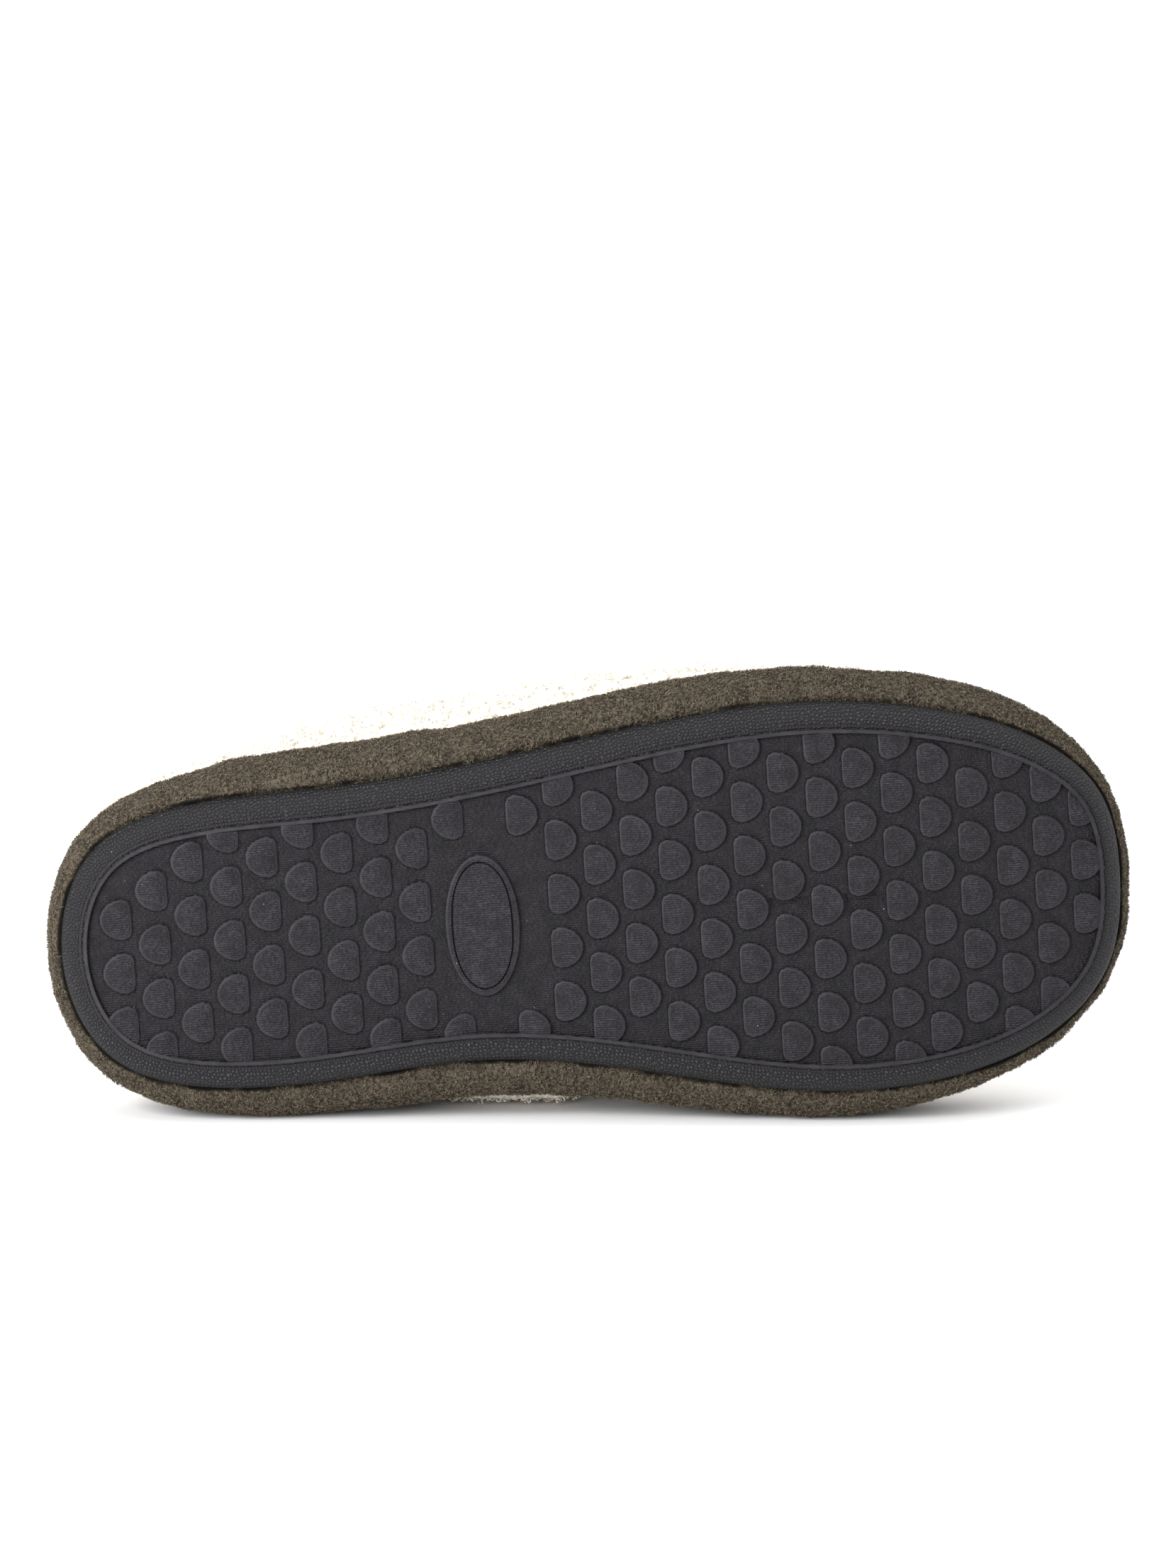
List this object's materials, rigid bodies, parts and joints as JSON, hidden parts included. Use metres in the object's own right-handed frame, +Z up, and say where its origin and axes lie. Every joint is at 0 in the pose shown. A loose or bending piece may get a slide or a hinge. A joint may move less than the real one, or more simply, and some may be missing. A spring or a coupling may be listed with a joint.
{
  "type": "house slipper",
  "caption": "Plush closed house slipper for the right foot, lying on its inner side, with a rubber sole, a padded fleece band and a soft rolled collar.",
  "frame": {"origin": "middle of the bounding box at floor level, with the shoe lying on its inner side", "axes": "+X from heel to toe, +Y from the sole towards the collar, +Z up from the floor towards the shoe's outer side"},
  "size_m": [0.2752, 0.0714, 0.1142],
  "materials": {
    "sole_rubber": "matt moulded rubber with fine ribs and a pebbled border",
    "band_fleece": "dense short olive fleece",
    "upper_sherpa": "cream curly sherpa pile",
    "footbed_pile": "soft cream pile"
  },
  "bodies": {
    "root": {"outsole": "sole_rubber", "side_band": "band_fleece", "upper": "upper_sherpa", "insole": "footbed_pile"}
  },
  "joints": []
}
